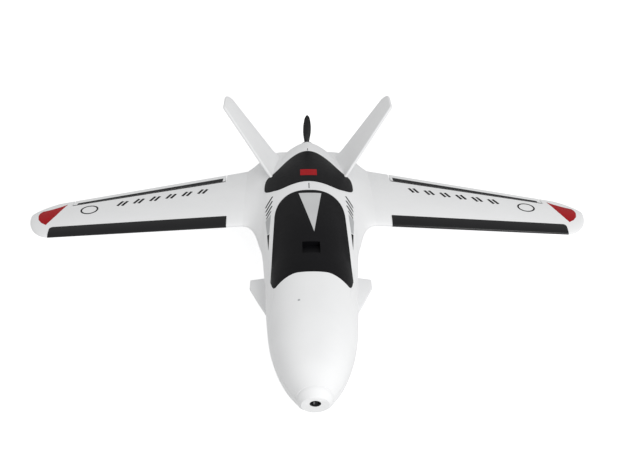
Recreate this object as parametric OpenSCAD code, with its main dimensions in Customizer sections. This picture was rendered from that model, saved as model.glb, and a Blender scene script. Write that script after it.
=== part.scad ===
// Pusher flying wing with a blended foam body, two canted tail fins and two elevons.
// X runs along the span, the nose points towards -Y, Z is up, and the belly skid rests on z = 0.

/* [Body] */
// Distance from the origin forward to the nose face
nose_y = 302; // [300:1:304]
// Distance from the origin back to the foam's rear end
tail_y = 268; // [264:1:268]
// Wall thickness of the foam shell round the equipment bay
foam_wall = 9; // [6:1:11]
// Height of the bay floor above the belly
bay_floor_z = 17; // [16:1:20]
// Gap along the canopy's parting line
canopy_gap = 0.4; // [0.2:0.1:0.8]
// Downward tilt of the nose camera
camera_tilt = 14; // [8:1:18]

/* [Wing] */
// Distance from the centre plane to the tip of each wing
half_span = 426; // [420:0.5:430]
// Distance from the centre plane to the joint between body and wing panel
root_x = 100; // [98:1:104]
// Distance from the centre plane to where the tip starts to round off
tip_x = 387; // [380:1:392]
// Chord at the joint
root_chord = 164; // [158:1:168]
// Chord where the tip starts to round off
tip_chord = 93.5; // [88:0.5:98]
// Leading edge's distance behind the origin at the joint
root_le_y = 55; // [52:1:58]
// How far the leading edge runs forward from the joint to the tip
le_run = 20; // [14:1:24]
// Height of the wing plane above the belly
wing_z = 57; // [55:1:60]
// Droop of each wing below level
droop = 1; // [0:0.25:2]
// Wing thickness as a fraction of the chord
wing_thick = 0.105; // [0.09:0.005:0.12]

/* [Elevons] */
// Distance from the centre plane to the elevon's inner end
elevon_in_x = 134; // [130:1:140]
// Distance from the centre plane to the elevon's outer end
elevon_out_x = 370; // [360:1:374]
// Hinge line's place along the chord, as a fraction
hinge_at = 0.8; // [0.78:0.01:0.82]
// Distance from the centre plane to the control linkage
link_x = 156; // [150:1:170]
// Length of the servo arm and of the control horn
arm_r = 12; // [11:0.5:14]
// Length of the pushrod between its two pivots
rod_l = 42; // [38:1:46]

/* [Tail fins] */
// Outward lean of each fin from upright
fin_cant = 40; // [30:1:45]
// Length of each fin above the body
fin_l = 117; // [110:1:122]
// Thickness of each fin
fin_t = 5; // [4:0.5:6]

/* [Propeller] */
// Propeller radius
prop_r = 62.5; // [56:0.5:62.5]
// Height of the motor axis above the belly
motor_z = 63.5; // [63.5:0.5:66]
// Number of blades
blade_n = 3; // [2:1:4]

/* [Hidden] */
foam = "whitesmoke";
black = "#1c1d20";
steel = "silver";

// Body stations from nose to tail:
// [y, half width, height of widest line, top, bottom, squareness of the top]
body_stations = [
    [-291.5, 21, 52, 73, 32, 2.1],
    [-266, 35, 51, 84, 21, 2.2],
    [-236, 46, 50, 91, 13, 2.3],
    [-202, 54, 50, 96, 7, 2.3],
    [-160, 58.5, 50, 99, 3.5, 2.3],
    [-120, 61, 50, 101, 2.5, 2.3],
    [-60, 63, 50, 101, 2, 2.3],
    [0, 66, 51, 101, 2, 2.3],
    [60, 69, 53, 99, 2, 2.3],
    [110, 71, 55, 97, 5, 2.3],
    [160, 69, 57, 95, 12, 2.2],
    [210, 60, 59, 92, 21, 1.8],
    [246, 49, 61, 90, 30, 1.45],
    [tail_y, 39, 62, 88, 38, 1.35]
];
body_front_y = -291.5;
body_low_power = 2.7;
body_rings = 22;
body_sides = 26;
bay_front_y = -262;
bay_rear_y = 74;
trough_w = 51;
bay_rings = 10;
bay_sides = 16;

// Planform of the blended wing roots: [x, leading edge y, trailing edge y, rise of the trailing edge]
stub_stations = [
    [50, -150, 264, 12],
    [63, -84, 257, 12],
    [68, -26, 250, 11],
    [74, 2, 244, 10],
    [79, 24, 239, 8],
    [84, 39, 234, 6],
    [91, 50, 227, 3],
    [root_x, root_le_y, root_le_y + root_chord, 0]
];
stub_thick = 22;
stub_rings = 9;

// Canopy's parting line, seen from the side
nose_split_z = 51;
hatch_split_z = 83;
split_rise_y0 = -208;
split_rise_y1 = -138;
hatch_front_w = 54.5;
hatch_half_w = 51.5;
hatch_round_y = 20;
hatch_power = 2.5;
hatch_rear_y = 91;
split_steps = 8;
notch = [24, 26, 7];
notch_y = -64;
notch_wall = 2.5;
magnet_x = 42.5;
magnet_r = 3;
// Extra radius of a hole moulded in foam, beyond the piece that it holds
hole_gap = 0.15;
above = 130;

// Airfoil and wing
airfoil_points = 12;
camber = 0.02;
edge_t = 0.6;
tip_power = 1.75;
tip_mid_y = 92;
le_slope = le_run / (tip_x - root_x);
tip_rings = [0, 0.3, 0.55, 0.75, 0.9, 0.98, 0.999];
guard_in_x = 125;
guard_chord = 17;
guard_t = 0.6;
guard_gap = 0.15;
guard_points = 7;

// Hinge line, elevon and control linkage
hinge_gap = 0.5;
end_gap = 1.5;
bevel = 28;
hinge_sets = [0.12, 0.5, 0.88];
knuckle_r = 1.5;
pin_r = 0.5;
leaf = [8, 12, 0.8];
plate_t = 1.6;
wire_r = 0.7;
hub_r = 3;
servo_size = [22, 23, 12];

// Spars
spar_r = 3;
spar_wall = 0.5;
spar_at = 0.3;
spar_in_x = 6;
spar_out_x = 300;
joiner = [56, 15, 15];

// Motor, from the foam's rear end backwards
mount_t = 3;
bell_r = 14;
bell_wall = 1.2;
magnet_t = 0.9;
magnet_n = 14;
shaft_r = 2.5;
bearing_r = 5;
screw_circle_r = 8;
hub_h = 7;
hub_y0 = tail_y + 22.2;

// ---------------------------------------------------------------- curves and lofts

// Table row whose span holds place y
function row_at(table, y, i = 0) =
    (i >= len(table) - 2 || y < table[i + 1][0]) ? i : row_at(table, y, i + 1);

// Slope of column c at row i, taken across its neighbours
function slope_at(table, i, c) =
    let(a = table[max(i - 1, 0)], b = table[min(i + 1, len(table) - 1)]) (b[c] - a[c]) / (b[0] - a[0]);

// Smooth curve through column c of a table whose first column is the place
function curve_at(table, y, c) =
    let(
        i = row_at(table, y),
        a = table[i],
        b = table[i + 1],
        d = b[0] - a[0],
        u = (y - a[0]) / d
    )
    a[c] * (1 - 3 * u * u + 2 * u * u * u) + b[c] * (3 * u * u - 2 * u * u * u)
    + d * slope_at(table, i, c) * (u - 2 * u * u + u * u * u)
    + d * slope_at(table, i + 1, c) * (u * u * u - u * u);

function power(v, p) = sign(v) * pow(abs(v), p);

// Closed body section at place y, made smaller by the wall thickness
function body_ring(y, wall, n) =
    let(
        w = curve_at(body_stations, y, 1) - wall,
        mid = curve_at(body_stations, y, 2),
        up = curve_at(body_stations, y, 3) - mid - wall,
        down = mid - curve_at(body_stations, y, 4) - wall
    )
    [for (i = [0:n - 1])
        let(
            a = 360 * (i + 0.5) / n,
            p = 2 / (sin(a) > 0 ? curve_at(body_stations, y, 5) : body_low_power)
        )
        [w * power(cos(a), p), y, mid + (sin(a) > 0 ? up : down) * power(sin(a), p)]];

// Solid through a row of rings that all have the same number of points
module loft(rings) {
    n = len(rings[0]);
    m = len(rings);
    polyhedron(
        points = [for (r = rings, p = r) p],
        faces = concat(
            [[for (i = [0:n - 1]) i]],
            [[for (i = [n - 1:-1:0]) (m - 1) * n + i]],
            [for (j = [0:m - 2], i = [0:n - 1])
                let(k = (i + 1) % n)
                [j * n + i, (j + 1) * n + i, (j + 1) * n + k]],
            [for (j = [0:m - 2], i = [0:n - 1])
                let(k = (i + 1) % n)
                [j * n + i, (j + 1) * n + k, j * n + k]]
        )
    );
}

// Solid through rings that are each convex, one slice at a time
module convex_loft(rings) {
    for (i = [0:len(rings) - 2]) hull() loft([rings[i], rings[i + 1]]);
}

module body_loft(y0, y1, wall, rings, sides) {
    convex_loft([for (i = [0:rings])
        let(u = pow(i / rings, 1.2))
        body_ring(y0 + (y1 - y0) * u, wall, sides)]);
}

// Half thickness of the airfoil at fraction t of the chord
function half_thick(t) =
    5 * wing_thick
    * (0.2969 * sqrt(t) - 0.126 * t - 0.3516 * t * t + 0.2843 * pow(t, 3) - 0.1036 * pow(t, 4));

function camber_at(t) = 4 * camber * t * (1 - t);

// Point of the airfoil: side is 1 above and -1 below, grow pushes it outwards
function airfoil_point(x, le, chord, mid, t, side, grow = 0, thick = 1) =
    [
        x,
        le + chord * t - grow * pow(1 - t, 12),
        mid + chord * camber_at(t)
            + side * (chord * half_thick(t) * thick + edge_t * t + grow * min(1, sqrt(t) * 4))
    ];

// Closed airfoil section; rise lifts its trailing edge
function airfoil_ring(x, le, chord, mid, n, thick = 1, rise = 0) =
    [for (i = [n:-1:-n])
        let(t = pow(sin(90 * i / n), 2))
        airfoil_point(x, le, chord, mid, t, i < 0 ? -1 : 1, 0, thick) + [0, 0, rise * t]];

// ---------------------------------------------------------------- wing planform

function tip_fade(x) =
    x < tip_x ? 1 : pow(1 - pow((x - tip_x) / (half_span - tip_x), tip_power), 1 / tip_power);
function le_line(x) = root_le_y - (x - root_x) * le_slope;
function chord_line(x) = root_chord + (x - root_x) * (tip_chord - root_chord) / (tip_x - root_x);
function wing_le(x) = tip_mid_y + tip_fade(x) * (le_line(x) - tip_mid_y);
function wing_te(x) = tip_mid_y + tip_fade(x) * (le_line(x) + chord_line(x) - tip_mid_y);
function wing_mid(x) = wing_z - tan(droop) * (x - root_x);
function at_chord(x, t) = [x, le_line(x) + t * chord_line(x), wing_mid(x) + chord_line(x) * camber_at(t)];

// Sweep of a line that stays at fraction t of the chord
function sweep_at(t) = atan((at_chord(root_x, t).y - at_chord(tip_x, t).y) / (tip_x - root_x));
function dip_at(t) =
    atan((at_chord(root_x, t).z - at_chord(tip_x, t).z) / (tip_x - root_x) * cos(sweep_at(t)));

module wing_loft() {
    convex_loft([for (x = concat(
        [root_x, elevon_in_x, (root_x + tip_x) / 2],
        [for (u = tip_rings) tip_x + u * (half_span - tip_x)]
    ))
        airfoil_ring(x, wing_le(x), wing_te(x) - wing_le(x), wing_mid(x), airfoil_points)]);
}

// Blended wing root inside the body, one side
module stub_loft() {
    x0 = stub_stations[0][0];
    loft([for (i = [0:stub_rings])
        let(
            x = x0 + (root_x - x0) * i / stub_rings,
            le = curve_at(stub_stations, x, 1),
            te = curve_at(stub_stations, x, 2),
            root_t = wing_thick * root_chord,
            want = root_t + (stub_thick - root_t) * (root_x - x) / (root_x - x0)
        )
        airfoil_ring(
            x, le, te - le, wing_z, airfoil_points,
            want / (wing_thick * (te - le)), curve_at(stub_stations, x, 3)
        )]);
}

// Puts right-hand things on the side asked for
module on_side(side) {
    if (side > 0) children();
    else mirror([1, 0, 0]) children();
}

// Frame on a line at fraction t of the chord: X outboard along the line, Y aft, Z up
module chord_frame(x, t) {
    translate(at_chord(x, t)) rotate([0, dip_at(t), -sweep_at(t)]) children();
}

module slab(x0, x1) {
    translate([x0, -400, -50]) cube([x1 - x0, 800, 300]);
}

module x_cylinder(r, x0, x1) {
    translate([x0, 0, 0]) rotate([0, 90, 0]) cylinder(r = r, h = x1 - x0, $fn = 24);
}

module y_cylinder(r, y0, y1, sides = 48) {
    translate([0, y0, 0]) rotate([-90, 0, 0]) cylinder(r = r, h = y1 - y0, $fn = sides);
}

// ---------------------------------------------------------------- body shells

module outer_body() {
    body_loft(body_front_y, tail_y, 0, body_rings, body_sides);
    for (side = [-1, 1]) on_side(side) stub_loft();
}

module bay() {
    intersection() {
        body_loft(bay_front_y, bay_rear_y, foam_wall, bay_rings, bay_sides);
        translate([-80, -320, bay_floor_z]) cube([160, 500, 100]);
    }
    translate([-trough_w / 2, tray_y - 2, bay_floor_z]) cube([trough_w, bay_rear_y - tray_y + 2, 40]);
    camera_frame() translate([-11, 5, -11]) cube([22, 42, 22]);
}

function split_z(u) = nose_split_z + (hatch_split_z - nose_split_z) * (1 - cos(180 * u)) / 2;

// Space that the canopy lifts out of, grown by gap
module canopy_space(gap) {
    front_y = gap > 0 ? body_front_y - 10 : body_front_y + canopy_gap;
    intersection() {
        rotate([90, 0, 90]) translate([0, 0, -80]) linear_extrude(160) polygon(concat(
            [[front_y, above], [front_y, nose_split_z - gap]],
            [for (i = [0:split_steps])
                let(u = i / split_steps)
                [split_rise_y0 + (split_rise_y1 - split_rise_y0) * u, split_z(u) - gap]],
            [[hatch_rear_y + 20, hatch_split_z - gap], [hatch_rear_y + 20, above]]
        ));
        union() {
            translate([-90, -320, 0]) cube([180, split_rise_y1 + 320 - 6, above]);
            linear_extrude(above) polygon(concat(
                [[-hatch_front_w - gap, split_rise_y1 - 8]],
                [for (a = [180:-7.5:0]) [
                    (hatch_half_w + gap) * power(cos(a), 2 / hatch_power),
                    hatch_round_y + (hatch_rear_y - hatch_round_y + gap) * power(sin(a), 2 / hatch_power)
                ]],
                [[hatch_front_w + gap, split_rise_y1 - 8]]
            ));
        }
    }
}

module notch_box(wall) {
    top = curve_at(body_stations, notch_y, 3);
    translate([-notch.x / 2 - wall, notch_y - notch.y / 2 - wall, top - notch.z - wall])
        cube([notch.x + 2 * wall, notch.y + 2 * wall, notch.z + 2 * wall + 5]);
}

module canopy() {
    color(foam) difference() {
        intersection() {
            body_loft(body_front_y, hatch_rear_y + 12, 0, body_rings - 4, body_sides);
            canopy_space(-canopy_gap / 2);
        }
        difference() {
            bay();
            notch_box(notch_wall);
        }
        notch_box(0);
        magnet_places(magnet_r + hole_gap, hatch_split_z - 1, hatch_split_z + 2.4);
    }
}

module magnet_places(r, z0, z1) {
    for (x = [-magnet_x, magnet_x], y = [-104, 16])
        translate([x, y, z0]) cylinder(r = r, h = z1 - z0, $fn = 24);
}

module canopy_magnets() {
    color(steel) magnet_places(magnet_r, hatch_split_z + canopy_gap / 2, hatch_split_z + 2.4);
}

module body_magnets() {
    color(steel) magnet_places(magnet_r, hatch_split_z - 2.4, hatch_split_z - canopy_gap / 2);
}

// Right-hand half of the black rear cover's outline, seen from above
cover_half = [
    [0, 228], [13, 225], [25, 214], [37, 197], [47, 177], [53, 167], [54, 150.5], [66, 148],
    [68, 134], [66, 119], [59, 108], [48, 109], [36, 114], [20, 120], [0, 123]
];

module cover_outline(shrink) {
    offset(delta = -shrink) polygon(concat(
        cover_half,
        [for (i = [len(cover_half) - 2:-1:1]) [-cover_half[i].x, cover_half[i].y]]
    ));
}

cover_rise = 0.6;
cover_sink = 1.2;

module rear_cover() {
    color(black) difference() {
        intersection() {
            body_loft(70, 240, -cover_rise, 10, body_sides);
            translate([0, 0, 60]) linear_extrude(60) cover_outline(0.2);
        }
        body_loft(70, 240, cover_sink, 10, body_sides);
    }
}

module cover_recess() {
    difference() {
        translate([0, 0, 60]) linear_extrude(60) cover_outline(0);
        body_loft(70, 240, cover_sink, 10, body_sides);
    }
}

module fuselage(side) {
    color(foam) difference() {
        intersection() {
            outer_body();
            if (side > 0) slab(0, root_x + 1);
            else slab(-root_x - 1, 0);
        }
        bay();
        canopy_space(canopy_gap / 2);
        cover_recess();
        magnet_places(magnet_r + hole_gap, hatch_split_z - 2.4, hatch_split_z + 1);
        belly_skid_shape();
        on_side(side) fin_shape();
        on_side(side) strake_shape();
        on_side(side) chord_frame(root_x, spar_at) x_cylinder(spar_r + hole_gap, -root_x, 20);
        on_side(side) screw_shape(hole_gap);
        spar_joiner_block();
        translate([0, 0, motor_z]) y_cylinder(11, tail_y - 8, tail_y + 1, 32);
        mount_screw_places() y_cylinder(1.2 + hole_gap, tail_y - 12, tail_y + 1, 16);
    }
}

// ---------------------------------------------------------------- belly, nose and fins

module belly_skid_shape() {
    linear_extrude(5) hull() {
        translate([0, -150]) circle(r = 20, $fn = 32);
        translate([0, 80]) circle(r = 26, $fn = 32);
    }
}

module belly_skid() {
    color(black) belly_skid_shape();
}

bezel_z = 52;
bezel_r = 15.5;
lens_r = 6.5;

// Camera frame: its Y axis looks out of the nose, tilted down
module camera_frame() {
    translate([0, -nose_y, bezel_z]) rotate([camera_tilt, 0, 0]) children();
}

module camera_bezel() {
    color(foam) intersection() {
        translate([0, (bezel_r - 1.5) * sin(camera_tilt), 0]) camera_frame() rotate([-90, 0, 0])
            rotate_extrude($fn = 64) polygon([
                [lens_r, 0], [bezel_r - 1.5, 0], [bezel_r, 1],
                [21.5, 13], [21.5, 20], [lens_r + 2.5, 20]
            ]);
        translate([-40, -nose_y, 0]) cube([80, nose_y + body_front_y, 100]);
    }
}

module camera_body() {
    color(black) camera_frame() translate([-9.5, 15.5, -9.5]) cube([19, 19, 19]);
}

module camera_lens() {
    color("#101114") camera_frame() translate([0, (bezel_r - 1.5) * sin(camera_tilt), 0]) {
        y_cylinder(5.8, 4, 12);
        translate([0, 4, 0]) rotate([90, 0, 0]) cylinder(r1 = 5.8, r2 = 3.5, h = 1.5, $fn = 32);
    }
}

strake_t = 4;

module strake_shape() {
    translate([0, 0, 37 - strake_t / 2]) linear_extrude(strake_t)
        polygon([[50, -129], [60, -129], [72, -103], [84.5, -73], [84.5, -55], [62, -50], [50, -50]]);
}

module nose_strake(side) {
    color(foam) on_side(side) strake_shape();
}

fin_root_x = 60;
fin_root_z = 83;
fin_front_y = 155;
fin_root_chord = 91;
fin_tip_chord = 54;
fin_tip_shift = 69;
fin_tab = 24;

// Right-hand fin as a plate whose root tab plugs into the body
module fin_shape() {
    slope = fin_tip_shift / fin_l;
    r = 16;
    translate([fin_root_x, 0, fin_root_z]) rotate([0, fin_cant, 0]) rotate([90, 0, 90])
        translate([0, 0, -fin_t / 2]) linear_extrude(fin_t) polygon(concat(
            [[fin_front_y - slope * fin_tab, -fin_tab], [fin_front_y, 0]],
            [[fin_front_y + fin_tip_shift - 2, fin_l - 4], [fin_front_y + fin_tip_shift + 4, fin_l]],
            [for (a = [90:-30:0])
                [fin_front_y + fin_tip_shift + fin_tip_chord - r + r * cos(a), fin_l - r + r * sin(a)]],
            [[fin_front_y + fin_root_chord, 0], [fin_front_y + fin_root_chord, -fin_tab]]
        ));
}

module fin(side) {
    color(foam) on_side(side) fin_shape();
}

// ---------------------------------------------------------------- wing panels

// Space behind the hinge line, between the elevon's ends, from y0 aft of the hinge
module elevon_space(y0, gap) {
    intersection() {
        chord_frame(elevon_in_x, hinge_at) translate([-40, y0, -30]) cube([330, 90, 60]);
        slab(elevon_in_x + gap, elevon_out_x - gap);
    }
}

module hinge_places() {
    for (u = hinge_sets)
        chord_frame(elevon_in_x + u * (elevon_out_x - elevon_in_x), hinge_at) children();
}

module servo_pocket() {
    chord_frame(link_x, hinge_at) {
        translate([3, -rod_l - 7.5, -20]) cube([servo_size.x + 2.5, servo_size.y + 2, 26.5]);
        translate([-3.5, -rod_l - 9, -20]) cube([7, 18, 25]);
    }
}

module wing(side) {
    color(foam) on_side(side) difference() {
        wing_loft();
        elevon_space(-hinge_gap, 0);
        chord_frame(root_x, spar_at) x_cylinder(spar_r + hole_gap, -20, spar_out_x - root_x);
        servo_pocket();
        screw_shape(hole_gap);
        hinge_places() {
            x_cylinder(knuckle_r + 0.5, -leaf.x / 2 - 0.3, leaf.x / 2 + 0.3);
            translate([-leaf.x / 2, -leaf.y, -leaf.z / 2]) cube(leaf);
        }
    }
}

// C-shaped section of the guard that wraps the leading edge
function guard_ring(x, reach) =
    let(
        le = wing_le(x),
        chord = wing_te(x) - le,
        last = reach / chord,
        n = guard_points,
        rows = [for (i = [0:n]) last * pow(i / n, 2)]
    )
    concat(
        [for (i = [n:-1:0]) airfoil_point(x, le, chord, wing_mid(x), rows[i], 1, guard_t)],
        [for (i = [1:n]) airfoil_point(x, le, chord, wing_mid(x), rows[i], -1, guard_t)],
        [for (i = [n:-1:1]) airfoil_point(x, le, chord, wing_mid(x), rows[i], -1, guard_gap)],
        [for (i = [0:n]) airfoil_point(x, le, chord, wing_mid(x), rows[i], 1, guard_gap)]
    );

module edge_guard(side) {
    color(black) on_side(side) loft([
        guard_ring(guard_in_x, guard_chord),
        guard_ring((guard_in_x + tip_x) / 2, guard_chord),
        guard_ring(tip_x - 6, guard_chord),
        guard_ring(tip_x, guard_chord * 0.6)
    ]);
}

module spar(side) {
    color(black) on_side(side) chord_frame(root_x, spar_at) difference() {
        x_cylinder(spar_r, spar_in_x - root_x, spar_out_x - root_x);
        x_cylinder(spar_r - spar_wall, spar_in_x - root_x - 1, spar_out_x - root_x + 1);
    }
}

function joiner_centre() =
    at_chord(root_x, spar_at) + [-root_x, sin(sweep_at(spar_at)) * root_x, sin(dip_at(spar_at)) * root_x];

module spar_joiner_block() {
    translate(joiner_centre() - joiner / 2 - [0, 1.5, 1]) cube(joiner);
}

module spar_joiner() {
    color("#2b2c30") difference() {
        spar_joiner_block();
        for (side = [-1, 1])
            on_side(side) chord_frame(root_x, spar_at) x_cylinder(spar_r, spar_in_x - root_x, 0);
    }
}

screw_x = 92;
screw_at = 0.3;
screw_drop = 9.5;

// Screw from below that locks the spar tube into the body
module screw_shape(grow) {
    p = at_chord(screw_x, screw_at);
    translate([p.x, p.y, p.z - screw_drop]) {
        cylinder(r = 3.5 + grow, h = 2 + grow, $fn = 24);
        cylinder(r = 1.5 + grow, h = screw_drop - spar_r, $fn = 24);
    }
}

module wing_screws() {
    color(steel) for (side = [-1, 1]) on_side(side) screw_shape(0);
}

// ---------------------------------------------------------------- elevons and their linkage

module elevon(side) {
    color(foam) on_side(side) difference() {
        intersection() {
            wing_loft();
            slab(elevon_in_x + end_gap, elevon_out_x - end_gap);
            chord_frame(elevon_in_x, hinge_at) rotate([90, 0, 90]) translate([0, 0, -40]) linear_extrude(330)
                polygon([
                    [hinge_gap, 0], [hinge_gap + 20 * tan(bevel), 20], [90, 20],
                    [90, -20], [hinge_gap + 20 * tan(bevel), -20]
                ]);
        }
        hinge_places() {
            x_cylinder(knuckle_r + 0.5, -leaf.x / 2 - 0.6, leaf.x / 2 + 0.6);
            translate([-leaf.x / 2, 0, -leaf.z / 2]) cube(leaf);
        }
        chord_frame(link_x, hinge_at) horn_plate();
    }
}

module wing_hinges(side) {
    color(black) on_side(side) hinge_places() difference() {
        union() {
            translate([-leaf.x / 2, -leaf.y, -leaf.z / 2]) cube([leaf.x, leaf.y - knuckle_r - 0.4, leaf.z]);
            for (x0 = [-leaf.x / 2, 1.5]) {
                x_cylinder(knuckle_r, x0, x0 + leaf.x / 2 - 1.5);
                translate([x0, -leaf.y / 2, -leaf.z / 2]) cube([leaf.x / 2 - 1.5, leaf.y / 2, leaf.z]);
            }
        }
        x_cylinder(pin_r, -leaf.x, leaf.x);
    }
}

module elevon_hinges(side) {
    color(black) on_side(side) hinge_places() difference() {
        union() {
            translate([-leaf.x / 2, knuckle_r + 0.5, -leaf.z / 2])
                cube([leaf.x, leaf.y - knuckle_r - 0.5, leaf.z]);
            x_cylinder(knuckle_r, -1.2, 1.2);
            translate([-1.2, 0, -leaf.z / 2]) cube([2.4, leaf.y / 2, leaf.z]);
        }
        x_cylinder(pin_r + 0.06, -leaf.x, leaf.x);
    }
}

module hinge_pins(side) {
    color(steel) on_side(side) hinge_places() x_cylinder(pin_r, -leaf.x / 2, leaf.x / 2);
}

// Flat arm in the plane across the hinge line: a horn tip or servo arm pivots at the origin
module horn_plate() {
    translate([-plate_t / 2, 0, 0]) rotate([90, 0, 90]) linear_extrude(plate_t) difference() {
        hull() {
            translate([0, -arm_r]) circle(r = 2.2, $fn = 32);
            translate([5, -2]) square([9, 2]);
        }
        translate([0, -arm_r]) circle(r = wire_r + 0.3, $fn = 32);
    }
}

module control_horn(side) {
    color(black) on_side(side) chord_frame(link_x, hinge_at) horn_plate();
}

module pushrod(side) {
    x0 = -plate_t / 2 - 1.3;
    color(steel) on_side(side) chord_frame(link_x, hinge_at) translate([0, 0, -arm_r]) {
        translate([x0, 0, 0]) y_cylinder(wire_r, -rod_l, 0, 24);
        for (y = [-rod_l, 0]) translate([0, y, 0]) {
            x_cylinder(wire_r, x0, plate_t / 2 + 1);
            translate([x0, 0, 0]) sphere(r = wire_r, $fn = 24);
        }
    }
}

module servo_arm(side) {
    color("white") on_side(side) chord_frame(link_x, hinge_at) translate([0, -rod_l, 0]) difference() {
        union() {
            translate([-plate_t / 2, 0, 0]) rotate([90, 0, 90]) linear_extrude(plate_t) hull() {
                circle(r = hub_r - 0.5, $fn = 32);
                translate([0, -arm_r]) circle(r = 1.8, $fn = 32);
            }
            x_cylinder(hub_r, -plate_t / 2, plate_t / 2 + 1.4);
        }
        translate([0, 0, -arm_r]) x_cylinder(wire_r + 0.05, -5, 5);
        x_cylinder(1, -5, 5);
    }
}

module arm_screws(side) {
    color(steel) on_side(side) chord_frame(link_x, hinge_at) translate([0, -rod_l, 0]) {
        x_cylinder(0.98, -plate_t / 2, plate_t / 2 + 1.4);
        x_cylinder(1.9, -plate_t / 2 - 1, -plate_t / 2);
    }
}

module servo(side) {
    color("#26324a") on_side(side) chord_frame(link_x, hinge_at) translate([0, -rod_l, 0]) {
        translate([4.2, -6.5, -6.2]) cube(servo_size);
        x_cylinder(5, 2.9, 4.2);
    }
}

// ---------------------------------------------------------------- equipment in the bay

tray = [48, 170, 2];
tray_y = -215;
pack = [42, 110, 32];
pack_y = -195;
strap_w = 20;
strap_t = 1;

module battery_tray() {
    color("#2b2c30") difference() {
        translate([-tray.x / 2, tray_y, bay_floor_z]) cube(tray);
        for (y = [tray_y + 8 : 73 : tray_y + 154])
            translate([-8, y, bay_floor_z - 1]) cube([16, 8, 4]);
    }
}

module battery() {
    color("#20242c") translate([-pack.x / 2, pack_y, bay_floor_z + tray.z + strap_t]) cube(pack);
}

module battery_strap() {
    outer = [pack.x + 2 * strap_t, strap_w, pack.z + 2 * strap_t];
    corner = [-outer.x / 2, pack_y + (pack.y - strap_w) / 2, bay_floor_z + tray.z];
    color(black) translate(corner) difference() {
        cube(outer);
        translate([strap_t, -1, strap_t]) cube([pack.x, strap_w + 2, pack.z]);
    }
}

module speed_controller() {
    color("#20242c") translate([-14, -38, bay_floor_z]) cube([28, 40, 8]);
}

board = [36, 36, 1.6];
board_y = 8;
post_h = 6;

module board_posts(r, z0, z1) {
    for (x = [-15, 15], y = [board_y + 3, board_y + 33])
        translate([x, y, z0]) cylinder(r = r, h = z1 - z0, $fn = 24);
}

module flight_controller() {
    z = bay_floor_z + post_h;
    color("#1e3a2a") difference() {
        union() {
            translate([-board.x / 2, board_y, z]) cube(board);
            translate([-6, board_y + 12, z + board.z]) cube([12, 12, 1.2]);
            translate([-10, board_y + 26, z + board.z]) cube([7, 8, 3]);
            translate([2, board_y + 28, z + board.z]) cube([9, 7, 3.2]);
        }
        board_posts(1.65, z - 1, z + 5);
    }
}

module board_standoffs() {
    z = bay_floor_z + post_h;
    color("#2b2c30") {
        board_posts(2.5, bay_floor_z, z);
        board_posts(1.6, z, z + board.z);
        board_posts(2.5, z + board.z, z + board.z + 1.5);
    }
}

module receiver() {
    color("#20242c") translate([-9, 50, bay_floor_z]) cube([18, 14, 6]);
}

// ---------------------------------------------------------------- motor and propeller

module on_axis() {
    translate([0, 0, motor_z]) children();
}

module mount_screw_places() {
    on_axis() for (x = [-14, 14], z = [-13, 13]) translate([x, 0, z]) children();
}

module motor_screw_places() {
    on_axis() for (a = [0:90:270]) rotate([0, a, 0]) translate([screw_circle_r, 0, 0]) children();
}

module motor_mount() {
    color(black) difference() {
        on_axis() translate([0, tail_y, 0]) rotate([-90, 0, 0]) linear_extrude(mount_t)
            hull() for (x = [-14, 14], z = [-13, 13]) translate([x, z]) circle(r = 4.5, $fn = 32);
        on_axis() y_cylinder(6.6, tail_y - 1, tail_y + mount_t + 1);
        mount_screw_places() y_cylinder(1.25, tail_y - 1, tail_y + mount_t + 1, 24);
        motor_screw_places() y_cylinder(1.55, tail_y - 1, tail_y + mount_t + 1, 24);
    }
}

module mount_screws() {
    color(steel) mount_screw_places() {
        y_cylinder(1.2, tail_y - 12, tail_y + mount_t, 24);
        y_cylinder(2.6, tail_y + mount_t, tail_y + mount_t + 1.6, 24);
    }
}

module motor_screws() {
    color(steel) motor_screw_places() {
        y_cylinder(1.5, tail_y, tail_y + mount_t + 2, 24);
        y_cylinder(2.6, tail_y - 2, tail_y, 24);
    }
}

module motor_stator() {
    y0 = tail_y + mount_t;
    color("#30323a") difference() {
        on_axis() {
            y_cylinder(13, y0, y0 + 3);
            y_cylinder(6.4, y0, y0 + 15);
            y_cylinder(11.2, y0 + 5, y0 + 13);
        }
        on_axis() y_cylinder(bearing_r, y0 - 1, y0 + 16);
        motor_screw_places() y_cylinder(1.52, y0 - 1, y0 + 2, 24);
    }
}

module motor_bearings() {
    y0 = tail_y + mount_t;
    color(steel) on_axis() for (y = [y0 + 1, y0 + 11]) difference() {
        y_cylinder(bearing_r, y, y + 4);
        y_cylinder(shaft_r + 0.05, y - 1, y + 5);
    }
}

module motor_bell() {
    y0 = tail_y + mount_t;
    color("#3a3c44") on_axis() {
        difference() {
            y_cylinder(bell_r, y0 + 3.5, y0 + 19);
            y_cylinder(bell_r - bell_wall, y0 + 3, y0 + 16.5);
        }
        y_cylinder(shaft_r, y0 + 0.5, nose_y);
    }
}

module rotor_magnets() {
    y0 = tail_y + mount_t + 5;
    color(steel) on_axis() for (i = [0:magnet_n - 1]) rotate([0, 360 * i / magnet_n, 0])
        translate([-2, y0, bell_r - bell_wall - magnet_t - 0.16]) cube([4, 9, magnet_t]);
}

// Blade stations: [radius fraction, chord, pitch angle]
blade_rows = [
    [0.09, 9, 46],
    [0.25, 12.5, 38],
    [0.45, 15, 28],
    [0.65, 14.5, 22],
    [0.82, 11.5, 18],
    [0.94, 8, 16],
    [1, 5, 15]
];
blade_t = 0.09;
blade_points = 5;

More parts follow.
